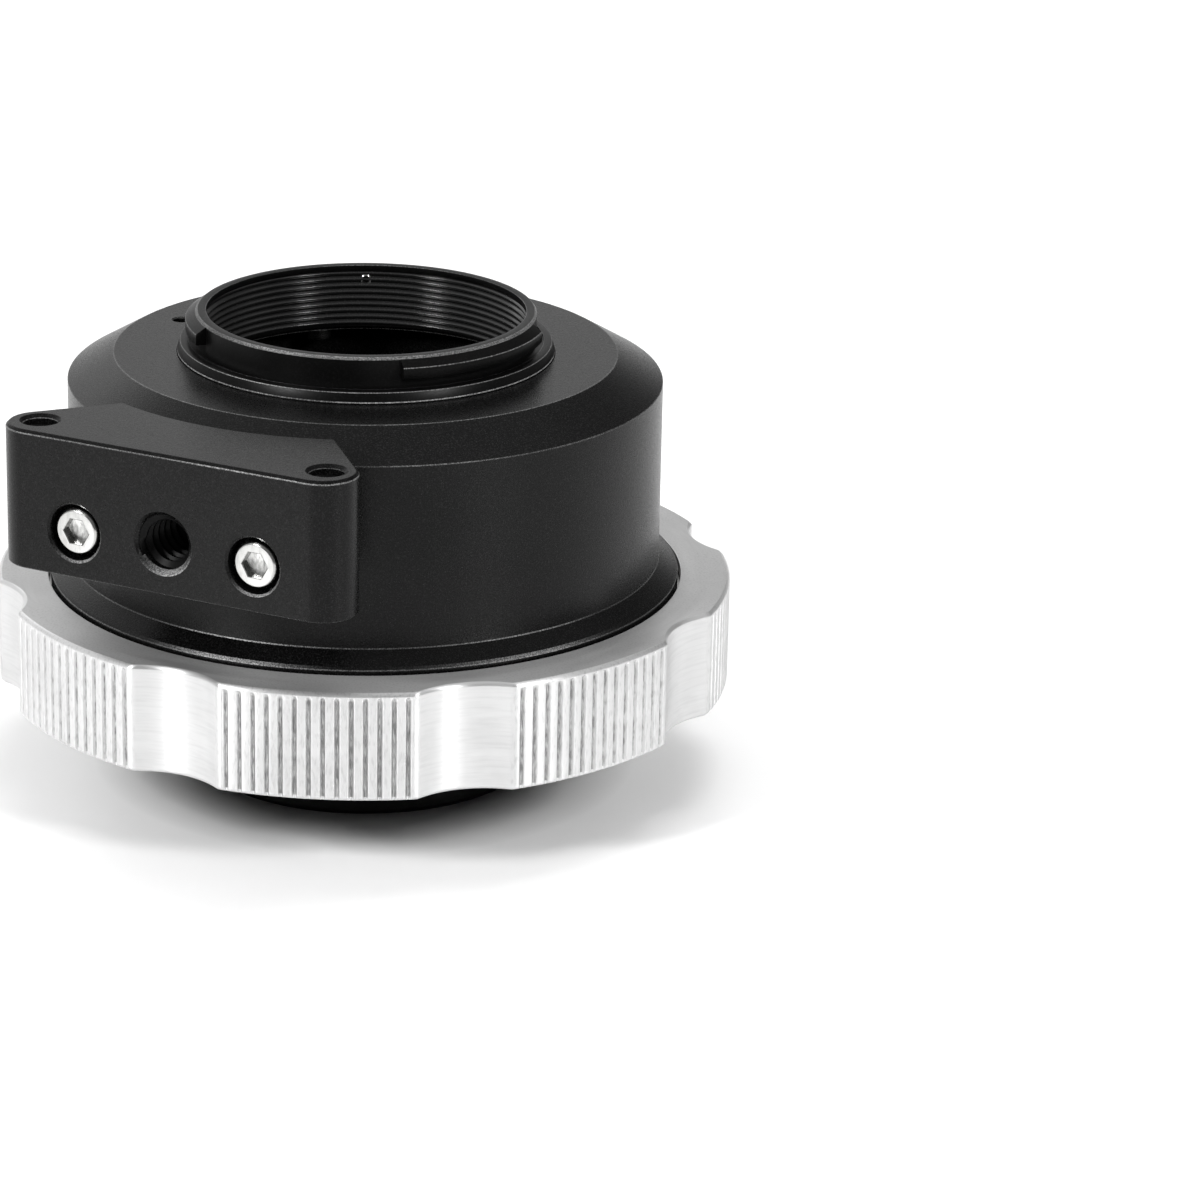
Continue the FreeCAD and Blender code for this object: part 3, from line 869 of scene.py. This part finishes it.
def lens_seat():
    seat_top = seat_z + 2.0
    sleeve_radius = port_radius + 1.6
    outline = ease([
        (port_radius + 0.5, seat_z),
        (flange_radius, seat_z),
        (flange_radius, seat_top),
        (sleeve_radius, seat_top),
        (sleeve_radius, sleeve_top),
        (port_radius, sleeve_top),
        (port_radius, seat_z + 0.5),
    ], 0.08)
    seat = lathe("dressed_seat", outline, 256)
    cutters = []
    for angle in seat_screw_angles:
        mouth = spot(seat_screw_circle, seat_z, angle)
        cutters.append(drill(seat_screw_hole, 3.0, mouth, DOWN, 0.95))
    cutters.append(drill(1.3, 3.0, spot(port_radius + 5.6, seat_z, 180.0), DOWN))
    smooth(cut(seat, cutters), 30)
    finish(seat, turned_steel, "lens_seat", "adapter")


def port_cap():
    outline = ease([
        (0, 0),
        (cap_boss_radius - 0.5, 0),
        (cap_boss_radius, 0.5),
        (cap_boss_radius, cap_face),
        (cap_radius - 0.6, cap_face),
        (cap_radius, cap_face + 0.6),
        (cap_radius, seat_z),
        (cap_radius - cap_wall, seat_z),
        (cap_radius - cap_wall, cap_face + cap_floor),
        (cap_boss_radius - cap_wall, cap_face + cap_floor),
        (cap_boss_radius - cap_wall, cap_floor),
        (0, cap_floor),
    ], 0.35, 4)
    cap = smooth(lathe("dressed_cap", outline, 256), 30)
    finish(cap, black_plastic, "port_cap", "cap")


# Materials

def new_material(name):
    material = bpy.data.materials.new(name)
    material.use_nodes = True
    tree = material.node_tree
    return material, tree, tree.nodes["Principled BSDF"]


def add(tree, kind, **settings):
    node = tree.nodes.new(kind)
    for key, value in settings.items():
        setattr(node, key, value)
    return node


def math_node(tree, operation, first, second=None):
    node = add(tree, "ShaderNodeMath", operation=operation)
    for socket, value in zip(node.inputs, (first, second)):
        if value is None:
            continue
        if isinstance(value, (int, float)):
            socket.default_value = value
        else:
            tree.links.new(value, socket)
    return node.outputs[0]


def noise(tree, vector, scale, detail=2.0, roughness=0.5):
    node = add(tree, "ShaderNodeTexNoise")
    node.inputs["Scale"].default_value = scale
    node.inputs["Detail"].default_value = detail
    node.inputs["Roughness"].default_value = roughness
    tree.links.new(vector, node.inputs["Vector"])
    return node.outputs["Fac"]


def between(tree, value, low, high, from_low=0.3, from_high=0.7):
    """A noise value spread from one number to another."""
    node = add(tree, "ShaderNodeMapRange")
    node.inputs["From Min"].default_value = from_low
    node.inputs["From Max"].default_value = from_high
    node.inputs["To Min"].default_value = low
    node.inputs["To Max"].default_value = high
    tree.links.new(value, node.inputs["Value"])
    return node.outputs["Result"]


def mix_colour(tree, value, low, high):
    node = add(tree, "ShaderNodeMix", data_type="RGBA")
    node.inputs["A"].default_value = (*low, 1)
    node.inputs["B"].default_value = (*high, 1)
    tree.links.new(value, node.inputs["Factor"])
    return node.outputs["Result"]


def bump(tree, height, strength, distance, normal=None):
    node = add(tree, "ShaderNodeBump")
    node.inputs["Strength"].default_value = strength
    node.inputs["Distance"].default_value = distance
    tree.links.new(height, node.inputs["Height"])
    if normal is not None:
        tree.links.new(normal, node.inputs["Normal"])
    return node.outputs["Normal"]


def object_place(tree):
    return add(tree, "ShaderNodeTexCoord").outputs["Object"]


def turned_place(tree, faced, fine, along_turn):
    """Coordinates that change fast across a surface's tool marks and slowly along them."""
    parts = add(tree, "ShaderNodeSeparateXYZ")
    tree.links.new(object_place(tree), parts.inputs[0])
    x, y, z = parts.outputs
    square = math_node(tree, "ADD", math_node(tree, "MULTIPLY", x, x), math_node(tree, "MULTIPLY", y, y))
    radius = math_node(tree, "SQRT", square)
    across = radius if faced else z
    turn = math_node(tree, "ARCTAN2", y, x)
    joined = add(tree, "ShaderNodeCombineXYZ")
    tree.links.new(math_node(tree, "MULTIPLY", across, fine), joined.inputs[0])
    tree.links.new(math_node(tree, "MULTIPLY", turn, along_turn), joined.inputs[1])
    return joined.outputs[0]


def stretched_place(tree, stretch):
    """Object coordinates scaled differently along each axis."""
    scaled = add(tree, "ShaderNodeVectorMath", operation="MULTIPLY")
    tree.links.new(object_place(tree), scaled.inputs[0])
    scaled.inputs[1].default_value = stretch
    return scaled.outputs[0]


def mark(tree, name):
    return add(tree, "ShaderNodeAttribute", attribute_name=name).outputs["Fac"]


def anodised(name, dark, light, rough_low, rough_high, grain, grit, wear, gloss):
    """Black anodised aluminium: blasted grain, faint cloudiness, and edges lightened for wear and as
    painted highlights.
    """
    material, tree, shader = new_material(name)
    place = object_place(tree)
    fine = noise(tree, place, 4600.0, 2.0, 0.6)
    cloud = noise(tree, place, 70.0, 3.0)
    specks = between(tree, noise(tree, place, 5600.0, 1.0), 0, grit, 0.5, 0.75)
    base = mix_colour(tree, between(tree, cloud, 0, 1), dark, light)
    base = blend_colour(tree, specks, base, tuple(c * 5 for c in light))
    speckle = between(tree, noise(tree, place, 6800.0, 2.0), 0.2, 1, 0.4, 0.65)
    patchy = between(tree, noise(tree, place, 45.0, 2.0), 0.35, 1, 0.35, 0.6)
    # edge wear and painted edge highlights: the marked edge faces are lightened towards grey
    wear_and_glint_level = math_node(tree, "MULTIPLY", math_node(tree, "MULTIPLY", speckle, patchy), wear)
    wear_and_glint_level = math_node(tree, "MULTIPLY", wear_and_glint_level, mark(tree, "edge_wear_and_glint"))
    tree.links.new(blend_colour(tree, wear_and_glint_level, base, (0.6, 0.6, 0.6)), shader.inputs["Base Color"])
    tree.links.new(between(tree, fine, rough_low, rough_high), shader.inputs["Roughness"])
    tree.links.new(bump(tree, fine, grain, 0.00003), shader.inputs["Normal"])
    shader.inputs["Specular IOR Level"].default_value = gloss
    return material


def blend_colour(tree, value, base, over):
    """A node's colour, blended by a value to a plain one."""
    mix = add(tree, "ShaderNodeMix", data_type="RGBA")
    tree.links.new(value, mix.inputs["Factor"])
    tree.links.new(base, mix.inputs["A"])
    mix.inputs["B"].default_value = (*over, 1)
    return mix.outputs["Result"]


def turned_metal(name, colour, rough_low, rough_high, anisotropy, marks, metallic=1.0, faced=False):
    """Machined metal: fine tool marks round the axis, slight stains, and painted shade in grooves and
    sockets.
    """
    material, tree, shader = new_material(name)
    lines = noise(tree, turned_place(tree, faced, 5200.0, 3.0), 1.0, 2.0)
    broad = noise(tree, turned_place(tree, faced, 700.0, 2.0), 1.0, 2.0)
    upright = noise(tree, stretched_place(tree, (3800.0, 3800.0, 900.0)), 1.0, 2.0)
    level = noise(tree, turned_place(tree, faced, 2600.0, 9.0), 1.0, 3.0)
    across = math_node(tree, "SUBTRACT", 1.0, mark(tree, "scallop"))
    upright_wear = math_node(tree, "MULTIPLY", between(tree, upright, 0, 0.35, 0.5, 0.7), across)
    level_lines = between(tree, level, 0, 0.18, 0.45, 0.7)
    level_wear = math_node(tree, "MULTIPLY", level_lines, mark(tree, "scallop"))
    stain = noise(tree, object_place(tree), 130.0, 4.0)
    shade = between(tree, stain, 0, 1, 0.4, 0.75)
    base = mix_colour(tree, shade, colour, tuple(c * 0.9 for c in colour))
    both_wear = math_node(tree, "ADD", upright_wear, level_wear)
    base = blend_colour(tree, both_wear, base, tuple(c * 0.55 for c in colour))
    # painted shade: darkens the knurl grooves and screw sockets, broken up by upright streak noise
    edge = between(tree, upright, -0.25, 0.25)
    groove_shade_and_streaks = math_node(tree, "ADD", mark(tree, "groove"), edge)
    groove = between(tree, groove_shade_and_streaks, 0, 0.85, 0.5, 1.15)
    base = blend_colour(tree, groove, base, tuple(c * 0.18 for c in colour))
    tree.links.new(base, shader.inputs["Base Color"])
    tree.links.new(between(tree, broad, rough_low, rough_high), shader.inputs["Roughness"])
    tree.links.new(bump(tree, lines, marks, 0.00001), shader.inputs["Normal"])
    tangent = add(tree, "ShaderNodeTangent", direction_type="RADIAL", axis="Z")
    tree.links.new(tangent.outputs[0], shader.inputs["Tangent"])
    shader.inputs["Metallic"].default_value = metallic
    shader.inputs["Anisotropic"].default_value = anisotropy
    shader.inputs["Anisotropic Rotation"].default_value = 0.25
    return material


def moulded(name):
    """Matte black moulded plastic."""
    material, tree, shader = new_material(name)
    place = object_place(tree)
    fine = noise(tree, place, 3200.0, 2.0)
    base = mix_colour(tree, fine, (0.002,) * 3, (0.004,) * 3)
    tree.links.new(base, shader.inputs["Base Color"])
    shader.inputs["Specular IOR Level"].default_value = 0.12
    tree.links.new(between(tree, fine, 0.4, 0.5), shader.inputs["Roughness"])
    tree.links.new(bump(tree, fine, 0.2, 0.00004), shader.inputs["Normal"])
    return material


def floor_material():
    """Pale floor, with a painted soft dark shade round the face that the object stands on."""
    material, tree, shader = new_material("pale_floor")
    distance = add(tree, "ShaderNodeVectorMath", operation="LENGTH")
    tree.links.new(object_place(tree), distance.inputs[0])
    # painted shade: the floor's colour darkens towards the object's standing face
    painted_shade_end = ring_radius * 0.75 * MM
    shade = between(tree, distance.outputs["Value"], 0, 1, cap_boss_radius * MM, painted_shade_end)
    tree.links.new(mix_colour(tree, shade, (0.2,) * 3, (0.93,) * 3), shader.inputs["Base Color"])
    shader.inputs["Roughness"].default_value = 0.35
    return material


def finish(piece, material, node, body):
    """Dresses a piece, puts it on the body that carries it, and hides the node it stands in for."""
    piece.data.materials.clear()
    piece.data.materials.append(material)
    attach(piece, body)
    if node:
        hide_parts(node)


def dress(nodes, material):
    """Gives carried-over nodes a finished material."""
    for name in nodes:
        for slot in frame["nodes"][name].material_slots:
            slot.material = material


black_blasted = anodised(
    "black_blasted", (0.001,) * 3, (0.0022,) * 3,
    rough_low=0.22, rough_high=0.34, grain=0.7, grit=1.0, wear=0.5, gloss=0.15,
)
black_turned = anodised(
    "black_turned", (0.001,) * 3, (0.002,) * 3,
    rough_low=0.3, rough_high=0.4, grain=0.12, grit=0.4, wear=0.7, gloss=0.09,
)
black_thread = anodised(
    "black_thread", (0.008,) * 3, (0.012,) * 3,
    rough_low=0.16, rough_high=0.24, grain=0.04, grit=0.2, wear=0.2, gloss=0.5,
)
turned_aluminium = turned_metal("turned_aluminium", (0.7,) * 3, 0.3, 0.4, 0.75, 0.2, metallic=0.8)
faced_aluminium = turned_metal(
    "faced_aluminium", (0.55,) * 3, 0.4, 0.5, 0.4, 0.2, metallic=0.7, faced=True
)
turned_steel = turned_metal("turned_steel", (0.6,) * 3, 0.2, 0.32, 0.5, 0.2, faced=True)
bright_steel = turned_metal("bright_steel", (0.5, 0.5, 0.49), 0.14, 0.24, 0.0, 0.05)
black_plastic = moulded("black_plastic")

lock_ring()
body_barrel()
bayonet_ring()
tripod_foot()
foot_screws()
lens_seat()
port_cap()
dress(["turn_stop_pin", "index_pin", "seat_shim", "snap_ring"], bright_steel)
dress(["bayonet_screw_%d" % i for i in range(1, 5)], bright_steel)
dress(["seat_screw_%d" % i for i in range(1, 9)], bright_steel)


# Stage: each dark patch has a direction, its strength away from it and along it, and where
# the change starts and ends
DARK_PATCH = ((0.235, 0.91, 0.342), 0.8, 0.22, 0.83, 0.97)
DARK_FRONT = ((0.42, -0.87, 0.25), 1.0, 0.25, 0.0, 0.8)
DARK_RIGHT = ((0.83, 0.52, 0.2), 1.0, 0.5, 0.2, 0.9)


def add_floor():
    half = 4000
    points = [(-half, -half, 0), (half, -half, 0), (half, half, 0), (-half, half, 0)]
    floor = mesh_object("floor", points, [(0, 1, 2, 3)])
    floor.data.materials.append(floor_material())
    if floor.data.polygons[0].normal.z < 0:
        floor.data.flip_normals()


def add_light(name, place, size, power, glossy=True):
    """Square area lamp that points at the frame's origin; place and size are in metres."""
    data = bpy.data.lights.new(name, "AREA")
    data.shape = "RECTANGLE"
    data.size = size
    data.size_y = size
    data.energy = power
    light = bpy.data.objects.new(name, data)
    light.location = place
    light.rotation_euler = (-Vector(place)).to_track_quat("-Z", "Y").to_euler()
    light.visible_glossy = glossy
    bpy.context.scene.collection.objects.link(light)


def add_world():
    """Pale surround, darker in front, on the right and in one soft patch behind."""
    world = bpy.data.worlds.new("studio")
    bpy.context.scene.world = world
    world.use_nodes = True
    tree = world.node_tree
    way = add(tree, "ShaderNodeTexCoord").outputs["Generated"]
    levels = []
    for aim, low, high, start, end in (DARK_PATCH, DARK_FRONT, DARK_RIGHT):
        towards = add(tree, "ShaderNodeVectorMath", operation="DOT_PRODUCT")
        tree.links.new(way, towards.inputs[0])
        towards.inputs[1].default_value = aim
        levels.append(between(tree, towards.outputs["Value"], low, high, start, end))
    strength = levels[0]
    for level in levels[1:]:
        strength = math_node(tree, "MULTIPLY", strength, level)
    background = tree.nodes["Background"]
    background.inputs["Color"].default_value = (1, 1, 1, 1)
    tree.links.new(strength, background.inputs["Strength"])


def add_camera():
    data = bpy.data.cameras.new("camera")
    data.sensor_width = SENSOR
    data.lens = FOCAL_PIXELS / PHOTO_PIXELS * SENSOR
    data.clip_start = 0.01
    data.clip_end = 20.0
    camera = bpy.data.objects.new("camera", data)
    turn = Matrix.Rotation(math.radians(-CAMERA_HEADING), 4, "Z")
    turn = turn @ Matrix.Rotation(math.radians(90 - CAMERA_PITCH), 4, "X")
    turn = turn @ Matrix.Rotation(math.radians(CAMERA_ROLL), 4, "Z")
    camera.matrix_world = Matrix.Translation(Vector(CAMERA_PLACE) * MM) @ turn
    bpy.context.scene.collection.objects.link(camera)
    bpy.context.scene.camera = camera


add_floor()
add_world()
add_light("table_left", (-0.41, -0.91, 0.6), 0.2, 11.0)
add_light("table_right", (0.97, -0.24, 0.6), 0.2, 8.0)
add_light("back_left", (-0.9, 0.53, 0.6), 0.4, 0.4)
add_light("overhead", (0.06, 0.32, 1.15), 0.6, 6.2, glossy=False)
add_camera()
bpy.context.scene.view_settings.view_transform = "Standard"
